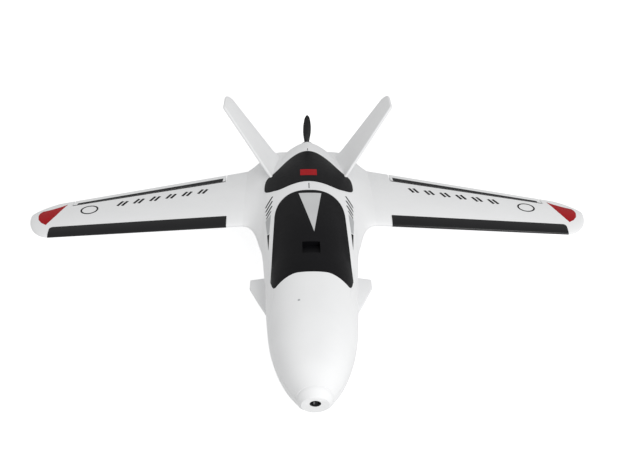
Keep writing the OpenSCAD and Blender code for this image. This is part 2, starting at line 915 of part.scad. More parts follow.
function blade_ring(row) =
    let(
        n = blade_points,
        shape = concat(
            [for (i = [0:n]) [i / n - 0.5, -0.02]],
            [for (i = [n:-1:0]) [i / n - 0.5, blade_t * sin(180 * i / n) + 0.02]]
        )
    )
    [for (p = shape)
        let(a = p * row[1])
        [a.x * cos(row[2]) - a.y * sin(row[2]), a.x * sin(row[2]) + a.y * cos(row[2]), row[0] * prop_r]];

module propeller() {
    y1 = hub_y0 + hub_h;
    color(black) difference() {
        on_axis() union() {
            y_cylinder(6.5, hub_y0, y1);
            for (i = [0:blade_n - 1]) rotate([0, 360 * i / blade_n, 0])
                translate([0, (hub_y0 + y1) / 2, 0]) loft([for (row = blade_rows) blade_ring(row)]);
        }
        on_axis() y_cylinder(shaft_r, hub_y0 - 1, y1 + 1);
    }
}

module prop_nut() {
    color(steel) on_axis() difference() {
        y_cylinder(4.6, hub_y0 + hub_h, nose_y, 6);
        y_cylinder(shaft_r, hub_y0, nose_y + 1);
    }
}

// ---------------------------------------------------------------- nodes

fuselage(-1);  // fuselage_left
fuselage(1);  // fuselage_right
canopy();
canopy_magnets();
body_magnets();
rear_cover();
belly_skid();
camera_bezel();
camera_body();
camera_lens();
nose_strake(-1);  // nose_strake_left
nose_strake(1);  // nose_strake_right
fin(-1);  // fin_left
fin(1);  // fin_right
wing(-1);  // wing_left
wing(1);  // wing_right
edge_guard(-1);  // edge_guard_left
edge_guard(1);  // edge_guard_right
spar(-1);  // spar_left
spar(1);  // spar_right
spar_joiner();
wing_screws();
elevon(-1);  // elevon_left
elevon(1);  // elevon_right
wing_hinges(-1);  // wing_hinges_left
wing_hinges(1);  // wing_hinges_right
elevon_hinges(-1);  // elevon_hinges_left
elevon_hinges(1);  // elevon_hinges_right
hinge_pins(-1);  // hinge_pins_left
hinge_pins(1);  // hinge_pins_right
control_horn(-1);  // control_horn_left
control_horn(1);  // control_horn_right
pushrod(-1);  // pushrod_left
pushrod(1);  // pushrod_right
servo(-1);  // servo_left
servo(1);  // servo_right
servo_arm(-1);  // servo_arm_left
servo_arm(1);  // servo_arm_right
arm_screws(-1);  // arm_screws_left
arm_screws(1);  // arm_screws_right
battery_tray();
battery();
battery_strap();
speed_controller();
flight_controller();
board_standoffs();
receiver();
motor_mount();
mount_screws();
motor_screws();
motor_stator();
motor_bearings();
motor_bell();
rotor_magnets();
propeller();
prop_nut();
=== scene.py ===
import math

import bmesh
import bpy
from mathutils import Matrix, Vector
from mathutils.bvhtree import BVHTree


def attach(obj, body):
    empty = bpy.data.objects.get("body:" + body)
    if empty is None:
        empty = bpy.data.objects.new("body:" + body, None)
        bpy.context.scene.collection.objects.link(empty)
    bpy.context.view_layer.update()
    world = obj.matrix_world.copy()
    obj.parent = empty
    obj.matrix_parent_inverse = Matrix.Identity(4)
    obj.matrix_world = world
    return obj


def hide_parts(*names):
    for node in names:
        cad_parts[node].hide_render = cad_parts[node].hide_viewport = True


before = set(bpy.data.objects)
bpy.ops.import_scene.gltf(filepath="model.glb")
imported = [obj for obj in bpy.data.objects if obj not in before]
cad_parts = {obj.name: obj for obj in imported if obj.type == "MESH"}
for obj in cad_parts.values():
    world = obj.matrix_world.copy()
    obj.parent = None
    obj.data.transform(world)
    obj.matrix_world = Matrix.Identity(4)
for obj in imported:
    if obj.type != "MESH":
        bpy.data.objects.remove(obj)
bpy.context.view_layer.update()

# Shapes are worked out in millimetres, as in the CAD source, and become metres in new_mesh().
MM = 0.001
SIDES = {"right": 1, "left": -1}

# ---------------------------------------------------------------- driving sizes

NOSE_Y, TAIL_Y = 302, 268
FOAM_WALL = 9
BAY_FLOOR_Z, BAY_FRONT_Y, BAY_REAR_Y = 17, -262, 74
TROUGH_W, TRAY_Y = 51, -215
CANOPY_GAP = 0.4
MAGNET_X, MAGNET_R, MAGNET_YS = 42.5, 3, (-104, 16)
ABOVE = 130
CAMERA_TILT = 14
HALF_SPAN, ROOT_X, TIP_X = 426, 100, 387
ROOT_CHORD, TIP_CHORD = 164, 93.5
ROOT_LE_Y, LE_RUN = 55, 20
WING_Z, DROOP = 57, 1
WING_THICK, CAMBER, EDGE_T = 0.105, 0.02, 0.6
TIP_POWER, TIP_MID_Y = 1.75, 92
ELEVON_IN, ELEVON_OUT = 134, 370
HINGE_AT, HINGE_GAP, END_GAP, BEVEL = 0.8, 0.5, 1.5, 28
LINK_X, ROD_L = 156, 42
FIN_CANT, FIN_L, FIN_T = 40, 117, 5
MOTOR_Z, PROP_R, BLADES = 63.5, 62.5, 3
HUB_Y, HUB_H = TAIL_Y + 22.2, 7

# [y, half width, height of widest line, top, bottom, squareness of the top]
BODY = [
    (-291.5, 21, 52, 73, 32, 2.1),
    (-266, 35, 51, 84, 21, 2.2),
    (-236, 46, 50, 91, 13, 2.3),
    (-202, 54, 50, 96, 7, 2.3),
    (-160, 58.5, 50, 99, 3.5, 2.3),
    (-120, 61, 50, 101, 2.5, 2.3),
    (-60, 63, 50, 101, 2, 2.3),
    (0, 66, 51, 101, 2, 2.3),
    (60, 69, 53, 99, 2, 2.3),
    (110, 71, 55, 97, 5, 2.3),
    (160, 69, 57, 95, 12, 2.2),
    (210, 60, 59, 92, 21, 1.8),
    (246, 49, 61, 90, 30, 1.45),
    (TAIL_Y, 39, 62, 88, 38, 1.35),
]
BODY_LOW_POWER = 2.7
BODY_FRONT = BODY[0][0]

# Blended wing root: [x, leading edge y, trailing edge y, rise of the trailing edge]
STUB = [
    (34, -150, 266, 12),
    (50, -150, 264, 12),
    (63, -84, 257, 12),
    (68, -26, 250, 11),
    (74, 2, 244, 10),
    (79, 24, 239, 8),
    (84, 39, 234, 6),
    (91, 50, 227, 3),
    (ROOT_X, ROOT_LE_Y, ROOT_LE_Y + ROOT_CHORD, 0),
]
STUB_THICK = 22
FILLET = 12


# ---------------------------------------------------------------- curves

def rad(degrees):
    return math.radians(degrees)


def power(value, exponent):
    return math.copysign(abs(value) ** exponent, value)


def smooth(u):
    u = min(max(u, 0), 1)
    return u * u * (3 - 2 * u)


def slope_at(table, i, column):
    a, b = table[max(i - 1, 0)], table[min(i + 1, len(table) - 1)]
    return (b[column] - a[column]) / (b[0] - a[0])


def curve_at(table, place, column):
    """Smooth curve through one column of a table whose first column is the place."""
    i = 0
    while i < len(table) - 2 and place >= table[i + 1][0]:
        i += 1
    a, b = table[i], table[i + 1]
    d = b[0] - a[0]
    u = (place - a[0]) / d
    return (
        a[column] * (1 - 3 * u * u + 2 * u ** 3)
        + b[column] * (3 * u * u - 2 * u ** 3)
        + d * slope_at(table, i, column) * (u - 2 * u * u + u ** 3)
        + d * slope_at(table, i + 1, column) * (u ** 3 - u * u)
    )


def body_ring(y, wall, n):
    width = curve_at(BODY, y, 1) - wall
    mid = curve_at(BODY, y, 2)
    up = curve_at(BODY, y, 3) - mid - wall
    down = mid - curve_at(BODY, y, 4) - wall
    ring = []
    for i in range(n):
        a = 2 * math.pi * (i + 0.5) / n
        above = math.sin(a) > 0
        p = 2 / (curve_at(BODY, y, 5) if above else BODY_LOW_POWER)
        ring.append((
            width * power(math.cos(a), p), y,
            mid + (up if above else down) * power(math.sin(a), p),
        ))
    return ring


def body_side(y, z):
    """Half width of the body at place y and height z."""
    mid = curve_at(BODY, y, 2)
    if z > mid:
        reach, p = curve_at(BODY, y, 3) - mid, curve_at(BODY, y, 5)
    else:
        reach, p = mid - curve_at(BODY, y, 4), BODY_LOW_POWER
    share = min(abs(z - mid) / reach, 1)
    return curve_at(BODY, y, 1) * (1 - share ** p) ** (1 / p)


def half_thick(t):
    return 5 * WING_THICK * (
        0.2969 * math.sqrt(t) - 0.126 * t - 0.3516 * t ** 2 + 0.2843 * t ** 3 - 0.1036 * t ** 4
    )


def camber_at(t):
    return 4 * CAMBER * t * (1 - t)


def airfoil_point(x, le, chord, mid, t, side, grow=0, thick=1):
    half = chord * half_thick(t) * thick + EDGE_T * t + grow * min(1, math.sqrt(t) * 4)
    return [x, le + chord * t - grow * (1 - t) ** 12, mid + chord * camber_at(t) + side * half]


def tip_fade(x):
    if x < TIP_X:
        return 1
    return (1 - ((x - TIP_X) / (HALF_SPAN - TIP_X)) ** TIP_POWER) ** (1 / TIP_POWER)


def le_line(x):
    return ROOT_LE_Y - (x - ROOT_X) * LE_RUN / (TIP_X - ROOT_X)


def chord_line(x):
    return ROOT_CHORD + (x - ROOT_X) * (TIP_CHORD - ROOT_CHORD) / (TIP_X - ROOT_X)


def wing_le(x):
    return TIP_MID_Y + tip_fade(x) * (le_line(x) - TIP_MID_Y)


def wing_te(x):
    return TIP_MID_Y + tip_fade(x) * (le_line(x) + chord_line(x) - TIP_MID_Y)


def wing_mid(x):
    return WING_Z - math.tan(rad(DROOP)) * (x - ROOT_X)


def at_chord(x, t):
    return Vector((
        x, le_line(x) + t * chord_line(x), wing_mid(x) + chord_line(x) * camber_at(t),
    ))


def chord_frame(x, t):
    """Frame on a line at fraction t of the chord: X outboard along it, Y aft, Z up."""
    root, tip = at_chord(ROOT_X, t), at_chord(TIP_X, t)
    run = TIP_X - ROOT_X
    sweep = math.atan((root.y - tip.y) / run)
    dip = math.atan((root.z - tip.z) / run * math.cos(sweep))
    return (
        Matrix.Translation(at_chord(x, t))
        @ Matrix.Rotation(-sweep, 4, "Z")
        @ Matrix.Rotation(dip, 4, "Y")
    )


# ---------------------------------------------------------------- mesh tools

def link(name, mesh):
    obj = bpy.data.objects.new(name, mesh)
    bpy.context.scene.collection.objects.link(obj)
    return obj


def new_mesh(name, points, faces, matrix=None):
    matrix = matrix or Matrix.Identity(4)
    mesh = bpy.data.meshes.new(name)
    mesh.from_pydata([(matrix @ Vector(p)) * MM for p in points], [], faces)
    bm = bmesh.new()
    bm.from_mesh(mesh)
    bmesh.ops.recalc_face_normals(bm, faces=bm.faces)
    bm.to_mesh(mesh)
    bm.free()
    return link(name, mesh)


def loft(name, rings, matrix=None):
    n, m = len(rings[0]), len(rings)
    faces = [list(range(n)), [(m - 1) * n + i for i in range(n - 1, -1, -1)]]
    for j in range(m - 1):
        for i in range(n):
            k = (i + 1) % n
            faces.append((j * n + i, (j + 1) * n + i, (j + 1) * n + k, j * n + k))
    return new_mesh(name, [p for ring in rings for p in ring], faces, matrix)


def prism(outline, low, high, axis="z", matrix=None):
    """Straight solid on an outline: axis z takes (x, y) points, x takes (y, z), y takes (x, z)."""
    place = {
        "z": lambda p, h: (p[0], p[1], h),
        "x": lambda p, h: (h, p[0], p[1]),
        "y": lambda p, h: (p[0], h, p[1]),
    }[axis]
    return loft("prism", [[place(p, low) for p in outline], [place(p, high) for p in outline]], matrix)


def box(low, high, matrix=None):
    (x0, y0, z0), (x1, y1, z1) = low, high
    return prism([(x0, y0), (x1, y0), (x1, y1), (x0, y1)], z0, z1, "z", matrix)


def circle(radius, n=32, x=0, y=0):
    return [
        (x + radius * math.cos(2 * math.pi * i / n), y + radius * math.sin(2 * math.pi * i / n))
        for i in range(n)
    ]


def lathe(name, profile, matrix=None, n=96):
    """Ring turned round the Y axis from a closed profile of (radius, y) points."""
    points = [
        (r * math.cos(2 * math.pi * i / n), y, r * math.sin(2 * math.pi * i / n))
        for i in range(n) for r, y in profile
    ]
    m = len(profile)
    faces = [
        (i * m + j, ((i + 1) % n) * m + j, ((i + 1) % n) * m + (j + 1) % m, i * m + (j + 1) % m)
        for i in range(n) for j in range(m)
    ]
    return new_mesh(name, points, faces, matrix)


def apply_modifiers(obj):
    graph = bpy.context.evaluated_depsgraph_get()
    mesh = bpy.data.meshes.new_from_object(obj.evaluated_get(graph))
    obj.modifiers.clear()
    obj.data = mesh
    return obj


def boolean(obj, other, operation):
    modifier = obj.modifiers.new("boolean", "BOOLEAN")
    modifier.object = other
    modifier.operation = operation
    modifier.solver = "MANIFOLD"
    apply_modifiers(obj)
    bpy.data.objects.remove(other)
    return obj


def cut(obj, *others):
    for other in others:
        boolean(obj, other, "DIFFERENCE")
    return obj


def copy_of(obj):
    return link(obj.name, obj.data.copy())


def mirrored(obj):
    other = copy_of(obj)
    other.data.transform(Matrix.Scale(-1, 4, (1, 0, 0)))
    other.data.flip_normals()
    return other


def bevel(obj, width, segments=3, angle=50):
    modifier = obj.modifiers.new("bevel", "BEVEL")
    modifier.width = width * MM
    modifier.segments = segments
    modifier.limit_method = "ANGLE"
    modifier.angle_limit = rad(angle)
    return apply_modifiers(obj)


def shade(obj, angle=35):
    obj.data.shade_smooth()
    obj.data.set_sharp_from_angle(angle=rad(angle))
    return obj


def film(name, outline, surface, lift=0.15, depth=0.3, cell=4):
    """Thin layer that lies on a surface, with its outline given from above and cut into cells."""
    bm = bmesh.new()
    bm.faces.new([bm.verts.new((x * MM, y * MM, 0)) for x, y in outline])
    bmesh.ops.triangulate(bm, faces=bm.faces[:])
    for axis in (0, 1):
        low = min(p[axis] for p in outline)
        high = max(p[axis] for p in outline)
        normal = Vector((1, 0, 0)) if axis == 0 else Vector((0, 1, 0))
        step = math.ceil(low / cell)
        while step * cell < high:
            bmesh.ops.bisect_plane(
                bm, geom=bm.verts[:] + bm.edges[:] + bm.faces[:],
                plane_co=normal * step * cell * MM, plane_no=normal,
            )
            step += 1
    for vert in bm.verts:
        hit, normal, _, _ = surface.ray_cast(vert.co + Vector((0, 0, 0.3)), Vector((0, 0, -1)))
        if hit is not None:
            vert.co = hit + normal * lift * MM
    bmesh.ops.recalc_face_normals(bm, faces=bm.faces)
    if sum(f.normal.z for f in bm.faces) < 0:
        bmesh.ops.reverse_faces(bm, faces=bm.faces[:])
    mesh = bpy.data.meshes.new(name)
    bm.to_mesh(mesh)
    bm.free()
    obj = link(name, mesh)
    modifier = obj.modifiers.new("solidify", "SOLIDIFY")
    modifier.thickness = depth * MM
    modifier.offset = -1
    return shade(apply_modifiers(obj), 50)


def surface_of(obj):
    return BVHTree.FromObject(obj, bpy.context.evaluated_depsgraph_get())


# ---------------------------------------------------------------- materials

def material(name, colour, rough, bump, vary=0.06, metallic=0, coat=0, specular=0.5):
    """Material whose colour and roughness wander; bump(nodes, links, where) gives its relief."""
    mat = bpy.data.materials.new(name)
    mat.use_nodes = True
    nodes, links = mat.node_tree.nodes, mat.node_tree.links
    shader = nodes["Principled BSDF"]
    shader.inputs["Metallic"].default_value = metallic
    shader.inputs["Coat Weight"].default_value = coat
    shader.inputs["Specular IOR Level"].default_value = specular
    where = nodes.new("ShaderNodeTexCoord").outputs["Object"]
    wander = nodes.new("ShaderNodeTexNoise")
    wander.inputs["Scale"].default_value = 28
    wander.inputs["Detail"].default_value = 6
    links.new(where, wander.inputs["Vector"])
    ramp = nodes.new("ShaderNodeValToRGB")
    ramp.color_ramp.elements[0].position = 0.3
    ramp.color_ramp.elements[1].position = 0.7
    for element, factor in zip(ramp.color_ramp.elements, (1 - vary, 1 + vary)):
        element.color = [min(c * factor, 1) for c in colour] + [1]
    links.new(wander.outputs["Fac"], ramp.inputs["Fac"])
    links.new(ramp.outputs["Color"], shader.inputs["Base Color"])
    scuff = nodes.new("ShaderNodeTexNoise")
    scuff.inputs["Scale"].default_value = 160
    scuff.inputs["Detail"].default_value = 4
    links.new(where, scuff.inputs["Vector"])
    spread = nodes.new("ShaderNodeMapRange")
    spread.inputs["To Min"].default_value = rough - 0.08
    spread.inputs["To Max"].default_value = rough + 0.08
    links.new(scuff.outputs["Fac"], spread.inputs["Value"])
    links.new(spread.outputs["Result"], shader.inputs["Roughness"])
    relief = nodes.new("ShaderNodeBump")
    height, strength, distance = bump(nodes, links, where)
    relief.inputs["Strength"].default_value = strength
    relief.inputs["Distance"].default_value = distance * MM
    links.new(height, relief.inputs["Height"])
    links.new(relief.outputs["Normal"], shader.inputs["Normal"])
    return mat


def beads(size, strength, distance):
    """Cells of moulded foam beads, size in millimetres."""
    def build(nodes, links, where):
        cells = nodes.new("ShaderNodeTexVoronoi")
        cells.feature = "SMOOTH_F1"
        cells.inputs["Scale"].default_value = 1 / (size * MM)
        links.new(where, cells.inputs["Vector"])
        return cells.outputs["Distance"], strength, distance
    return build


def grain(size, strength, distance):
    """Fine even grain of moulded plastic or film, size in millimetres."""
    def build(nodes, links, where):
        noise = nodes.new("ShaderNodeTexNoise")
        noise.inputs["Scale"].default_value = 1 / (size * MM)
        noise.inputs["Detail"].default_value = 3
        links.new(where, noise.inputs["Vector"])
        return noise.outputs["Fac"], strength, distance
    return build


def weave(size, strength, distance):
    """Crossed threads of woven cloth or carbon, size in millimetres."""
    def build(nodes, links, where):
        heights = []
        for direction in ("X", "Y"):
            wave = nodes.new("ShaderNodeTexWave")
            wave.bands_direction = direction
            wave.inputs["Scale"].default_value = 0.314 / (size * MM)
            links.new(where, wave.inputs["Vector"])
            heights.append(wave.outputs["Fac"])
        join = nodes.new("ShaderNodeMath")
        join.operation = "MULTIPLY"
        links.new(heights[0], join.inputs[0])
        links.new(heights[1], join.inputs[1])
        return join.outputs["Value"], strength, distance
    return build


MATERIALS = {
    "foam": material(
        "foam_white", (0.84, 0.845, 0.85), 0.62, beads(3, 0.12, 0.25), 0.012, specular=0.2
    ),
    "shell": material("moulded_white", (0.84, 0.85, 0.86), 0.42, grain(0.5, 0.05, 0.1), 0.015),
    "film": material(
        "film_black", (0.005, 0.005, 0.006), 0.42, grain(1.2, 0.05, 0.1), 0.15, specular=0.06
    ),
    "guard": material(
        "guard_black", (0.007, 0.007, 0.008), 0.24, grain(1.5, 0.08, 0.1), 0.15, specular=0.3
    ),
    "red": material("film_red", (0.36, 0.004, 0.008), 0.4, grain(1.2, 0.05, 0.1), 0.08, specular=0.06),
    "grey": material("film_grey", (0.42, 0.43, 0.44), 0.4, grain(1.2, 0.05, 0.1), 0.05),
    "silver": material("film_silver", (0.58, 0.585, 0.59), 0.4, grain(1.2, 0.05, 0.1), 0.04),
    "plastic": material("plastic_black", (0.02, 0.02, 0.022), 0.42, grain(0.35, 0.12, 0.1), 0.12),
    "steel": material("steel", (0.55, 0.55, 0.57), 0.3, grain(0.25, 0.1, 0.05), 0.05, metallic=1),
    "magnet": material("nickel", (0.66, 0.65, 0.62), 0.18, grain(0.6, 0.05, 0.05), 0.04, metallic=1),
    "carbon": material("carbon_weave", (0.022, 0.022, 0.025), 0.3, weave(1, 0.4, 0.15), 0.3, coat=0.6),
    "servo": material("servo_case", (0.012, 0.02, 0.06), 0.35, grain(0.5, 0.08, 0.1), 0.1),
    "wrap": material(
        "battery_wrap", (0.02, 0.03, 0.05), 0.42, grain(3, 0.2, 0.3), 0.2, coat=0.05, specular=0.3
    ),
    "strap": material("webbing", (0.018, 0.018, 0.02), 0.8, weave(0.8, 0.8, 0.3), 0.3),
    "board": material("circuit_board", (0.006, 0.045, 0.022), 0.3, grain(0.8, 0.2, 0.1), 0.25),
    "motor": material(
        "anodised_dark", (0.045, 0.046, 0.055), 0.3, grain(0.2, 0.1, 0.05), 0.15, metallic=0.9
    ),
    "copper": material("copper_wire", (0.45, 0.16, 0.06), 0.32, weave(0.5, 0.6, 0.2), 0.15, metallic=1),
    "prop": material(
        "propeller_plastic", (0.01, 0.01, 0.011), 0.34, grain(0.4, 0.08, 0.1), 0.1, specular=0.25
    ),
    "lens": material(
        "lens_glass", (0.004, 0.004, 0.006), 0.16, grain(6, 0.02, 0.02), 0.1, specular=0.3
    ),
}


def paint(obj, *names):
    obj.data.materials.clear()
    for name in names:
        obj.data.materials.append(MATERIALS[name])
    return obj


def place(obj, name, body, look, slot=None, nodes=()):
    """Names a finished piece, gives it its material and puts it on its body."""
    obj.name = name
    obj.data.name = name
    if look:
        paint(obj, look)
    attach(obj, body)
    if nodes:
        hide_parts(*nodes)
    return obj


# ---------------------------------------------------------------- fuselage and canopy

HATCH_FRONT_W, HATCH_W, HATCH_ROUND_Y, HATCH_REAR_Y, HATCH_POWER = 54.5, 51.5, 20, 91, 2.5
NOSE_SPLIT_Z, HATCH_SPLIT_Z = 51, 83
RISE_Y0, RISE_Y1 = -208, -138
NOTCH, NOTCH_Y, NOTCH_WALL = (24, 26, 7), -64, 2.5
BEZEL_Z, BEZEL_R, LENS_R = 52, 15.5, 6.5
camera_frame = Matrix.Translation((0, -NOSE_Y, BEZEL_Z)) @ Matrix.Rotation(rad(CAMERA_TILT), 4, "X")


def body_solid(y0, y1, wall, steps, sides):
    rings = [body_ring(y0 + (y1 - y0) * (i / steps) ** 1.15, wall, sides) for i in range(steps + 1)]
    return loft("body", rings)


def fillet_lift(x, y, z, side):
    """How far the fillet raises a point of the wing root, found by halving."""
    low, high = 0, FILLET
    for _ in range(12):
        lift = (low + high) / 2
        gap = min(max(x - body_side(y, z + side * lift), 0) / FILLET, 1)
        if lift < FILLET * (1 - gap) ** 2:
            low = lift
        else:
            high = lift
    return low


def stub_solid(steps=36, n=44):
    """Wing root that flows into the body's side with a fillet above and below."""
    x0 = STUB[0][0]
    root_t = WING_THICK * ROOT_CHORD
    rings = []
    for s in range(steps + 1):
        x = x0 + (ROOT_X - x0) * s / steps
        le, te = curve_at(STUB, x, 1), curve_at(STUB, x, 2)
        want = root_t + (STUB_THICK - root_t) * (ROOT_X - x) / (ROOT_X - x0)
        ring = []
        for i in range(n, -n - 1, -1):
            t = math.sin(math.pi / 2 * i / n) ** 2
            side = -1 if i < 0 else 1
            p = airfoil_point(x, le, te - le, WING_Z, t, side, 0, want / (WING_THICK * (te - le)))
            p[2] += curve_at(STUB, x, 3) * t
            p[2] += side * fillet_lift(x, p[1], p[2], side) * smooth(t / 0.2) * smooth((1 - t) / 0.2)
            ring.append(p)
        rings.append(ring)
    return loft("stub", rings)


def split_z(u):
    return NOSE_SPLIT_Z + (HATCH_SPLIT_Z - NOSE_SPLIT_Z) * (1 - math.cos(math.pi * u)) / 2


def hatch_outline(gap, front_y):
    """Rear part of the hatch seen from above, closed off straight at front_y."""
    arc = []
    for i in range(49):
        a = math.pi * (1 - i / 48)
        arc.append((
            (HATCH_W + gap) * power(math.cos(a), 2 / HATCH_POWER),
            HATCH_ROUND_Y + (HATCH_REAR_Y - HATCH_ROUND_Y + gap) * power(math.sin(a), 2 / HATCH_POWER),
        ))
    front_w = HATCH_FRONT_W + gap
    return [(-front_w, front_y)] + arc + [(front_w, front_y)]


def canopy_space(gap):
    front_y = BODY_FRONT - 10 if gap > 0 else BODY_FRONT + CANOPY_GAP
    rise = [
        (RISE_Y0 + (RISE_Y1 - RISE_Y0) * i / 24, split_z(i / 24) - gap) for i in range(25)
    ]
    rear_y = HATCH_REAR_Y + 20
    side = [(front_y, ABOVE), (front_y, NOSE_SPLIT_Z - gap)] + rise
    side += [(rear_y, HATCH_SPLIT_Z - gap), (rear_y, ABOVE)]
    space = prism(side, -80, 80, "x")
    plan = prism(hatch_outline(gap, RISE_Y1 - 8), 0, ABOVE)
    boolean(plan, box((-90, -320, 0), (90, RISE_Y1 - 6, ABOVE)), "UNION")
    return boolean(space, plan, "INTERSECT")


def bay_space():
    """Inside of the body, with a flat trough for the tray and a pocket for the camera."""
    trough = box(
        (-TROUGH_W / 2, TRAY_Y - 2, BAY_FLOOR_Z), (TROUGH_W / 2, BAY_REAR_Y, BAY_FLOOR_Z + 40)
    )
    bay = body_solid(BAY_FRONT_Y, BAY_REAR_Y, FOAM_WALL, 40, 64)
    boolean(bay, box((-80, -320, BAY_FLOOR_Z), (80, 180, BAY_FLOOR_Z + 100)), "INTERSECT")
    boolean(bay, trough, "UNION")
    return boolean(bay, box((-11, 5, -11), (11, 47, 11), camera_frame), "UNION")


def notch_space(wall):
    top = curve_at(BODY, NOTCH_Y, 3)
    w, d, h = NOTCH
    return box(
        (-w / 2 - wall, NOTCH_Y - d / 2 - wall, top - h - wall),
        (w / 2 + wall, NOTCH_Y + d / 2 + wall, top + wall + 5),
    )


def magnet_holes():
    holes = [
        prism(circle(MAGNET_R, 24, x, y), HATCH_SPLIT_Z - 2.4, HATCH_SPLIT_Z + 2.4)
        for x in (-MAGNET_X, MAGNET_X) for y in MAGNET_YS
    ]
    return holes


def wing_screw_holes():
    p = at_chord(92, 0.3)
    return [prism(circle(3.5, 32, side * p.x, p.y), 30, p.z - 7.5) for side in (1, -1)]


skin = body_solid(BODY_FRONT, TAIL_Y, 0, 130, 112)
stub = stub_solid()
boolean(skin, mirrored(stub), "UNION")
boolean(skin, stub, "UNION")
skin_surface = surface_of(skin)

canopy = body_solid(BODY_FRONT, HATCH_REAR_Y + 12, 0, 96, 112)
boolean(canopy, canopy_space(-CANOPY_GAP / 2), "INTERSECT")
notch_bay = boolean(bay_space(), notch_space(NOTCH_WALL), "DIFFERENCE")
cut(canopy, notch_bay, notch_space(0), *magnet_holes())
paint(canopy, "foam", "film")
notch_top = (curve_at(BODY, NOTCH_Y, 3) - 0.5) * MM
for face in canopy.data.polygons:
    c = face.center
    off_x, off_y = abs(c.x), abs(c.y - NOTCH_Y * MM)
    inside = off_x < (NOTCH[0] / 2 + 0.2) * MM and off_y < (NOTCH[1] / 2 + 0.2) * MM
    face.material_index = 1 if inside and notch_top - NOTCH[2] * MM < c.z < notch_top else 0
place(shade(canopy), "canopy_foam", "canopy", None, "foam", ["canopy"])

fuselage = cut(
    copy_of(skin), bay_space(), canopy_space(CANOPY_GAP / 2), *magnet_holes(), *wing_screw_holes()
)
for side, sign in SIDES.items():
    low, high = (0.02, 110) if sign > 0 else (-110, -0.02)
    half = boolean(copy_of(fuselage), box((low, -320, -10), (high, 300, 130)), "INTERSECT")
    place(shade(half), "fuselage_foam_" + side, "airframe", "foam", "foam", ["fuselage_" + side])
bpy.data.objects.remove(fuselage)


def hatch_paint():
    """Black area of the hatch: rounded behind, with two points that reach round the nose."""
    rear = hatch_outline(-0.4, -112)
    tip_x, tip_y, mid_y, flat = 47, -132, -118.5, 20
    front = []
    for i in range(17):
        u = 1 - i / 16
        front.append((flat + (tip_x - flat) * u, mid_y + (tip_y - mid_y) * u ** 1.5))
    right = [(51.5, -125), (49.5, -130.5)] + front
    left = [(-x, y) for x, y in reversed(right)]
    return rear + right + left


def mark(name, outline, body, look, lift=0.15):
    """Flat coloured mark on the body's skin."""
    place(film(name, outline, skin_surface, lift), name, body, look)


hatch_film = cut(film("hatch_film", hatch_paint(), skin_surface), notch_space(0))
place(hatch_film, "hatch_film", "canopy", "film", "black_skin")
mark("hatch_wedge", [(-16, 81), (4.8, -27), (18, 81)], "canopy", "silver", 0.3)
# Grey dot laid on the nose top where a small dimple holds shade: painted shade, as the skin has no
# dimple here.
mark("nose_dimple_shade_dot", circle(1.6, 20, -17.3, -170.8), "canopy", "grey", 0.1)

COVER_HALF = [
    (0, 228), (13, 225), (25, 214), (37, 197), (47, 177), (56, 163.5), (62, 157.5), (66.4, 150),
    (68.2, 140), (68.8, 129), (68.4, 118), (66, 111.5), (61, 107.2), (54, 105), (46, 103.8),
    (36, 107), (24, 112.6), (12, 117.2), (0, 119)
]


def rounded(outline, steps=6):
    """Closed outline drawn as a smooth curve through its points."""
    n = len(outline)
    points = []
    for i in range(n):
        a, b, c, d = (Vector(outline[(i + k) % n]) for k in (-1, 0, 1, 2))
        for s in range(steps):
            u = s / steps
            p = (
                b * (1 - 3 * u * u + 2 * u ** 3) + c * (3 * u * u - 2 * u ** 3)
                + (c - a) / 2 * (u - 2 * u * u + u ** 3) + (d - b) / 2 * (u ** 3 - u * u)
            )
            points.append((p.x, p.y))
    return points


cover_outline = rounded(COVER_HALF + [(-x, y) for x, y in COVER_HALF[-2:0:-1]])
cover = film("rear_cover", cover_outline, skin_surface, 0.6, 1.8, 3)
place(cover, "rear_cover_skin", "airframe", "film", "black_skin", ["rear_cover"])
mark("badge", [(-13, 158), (13, 158), (13, 138), (-13, 138)], "airframe", "red", 0.8)
mark("seam_mark_front", [(-0.6, 96), (0.6, 96), (0.6, 113), (-0.6, 113)], "airframe", "film")
mark("seam_mark_rear", [(-0.5, 231), (0.5, 231), (0.5, 239), (-0.5, 239)], "airframe", "film")


def strip(a, b, width):
    """Straight strip from a to b."""
    d = (Vector(b) - Vector(a)).normalized()
    n = Vector((-d.y, d.x)) * width / 2
    a, b = Vector(a), Vector(b)
    return [tuple(a + n), tuple(a - n), tuple(b - n), tuple(b + n)]


for side, sign in SIDES.items():
    marks = [
        ("film", strip((55.5, 90), (65.5, 67), 2.2)),
        ("film", strip((55.5, 77), (65, 55.5), 2.2)),
        ("film", strip((55.8, 63.5), (64, 45), 2.2)),
        ("film", [(56.2, 50), (58.2, 50), (64, 37), (63, 35)]),
        ("grey", [(56.8, 41), (64.5, 31), (61.4, -4), (58.1, -4)]),
        ("film", [(58, -6), (61.2, -6), (58.5, -42)]),
    ]
    for i, (look, outline) in enumerate(marks):
        name = "side_mark_%s_%d" % (side, i + 1)
        mark(name, [(sign * x, y) for x, y in outline], "airframe", look)

# ---------------------------------------------------------------- nose camera

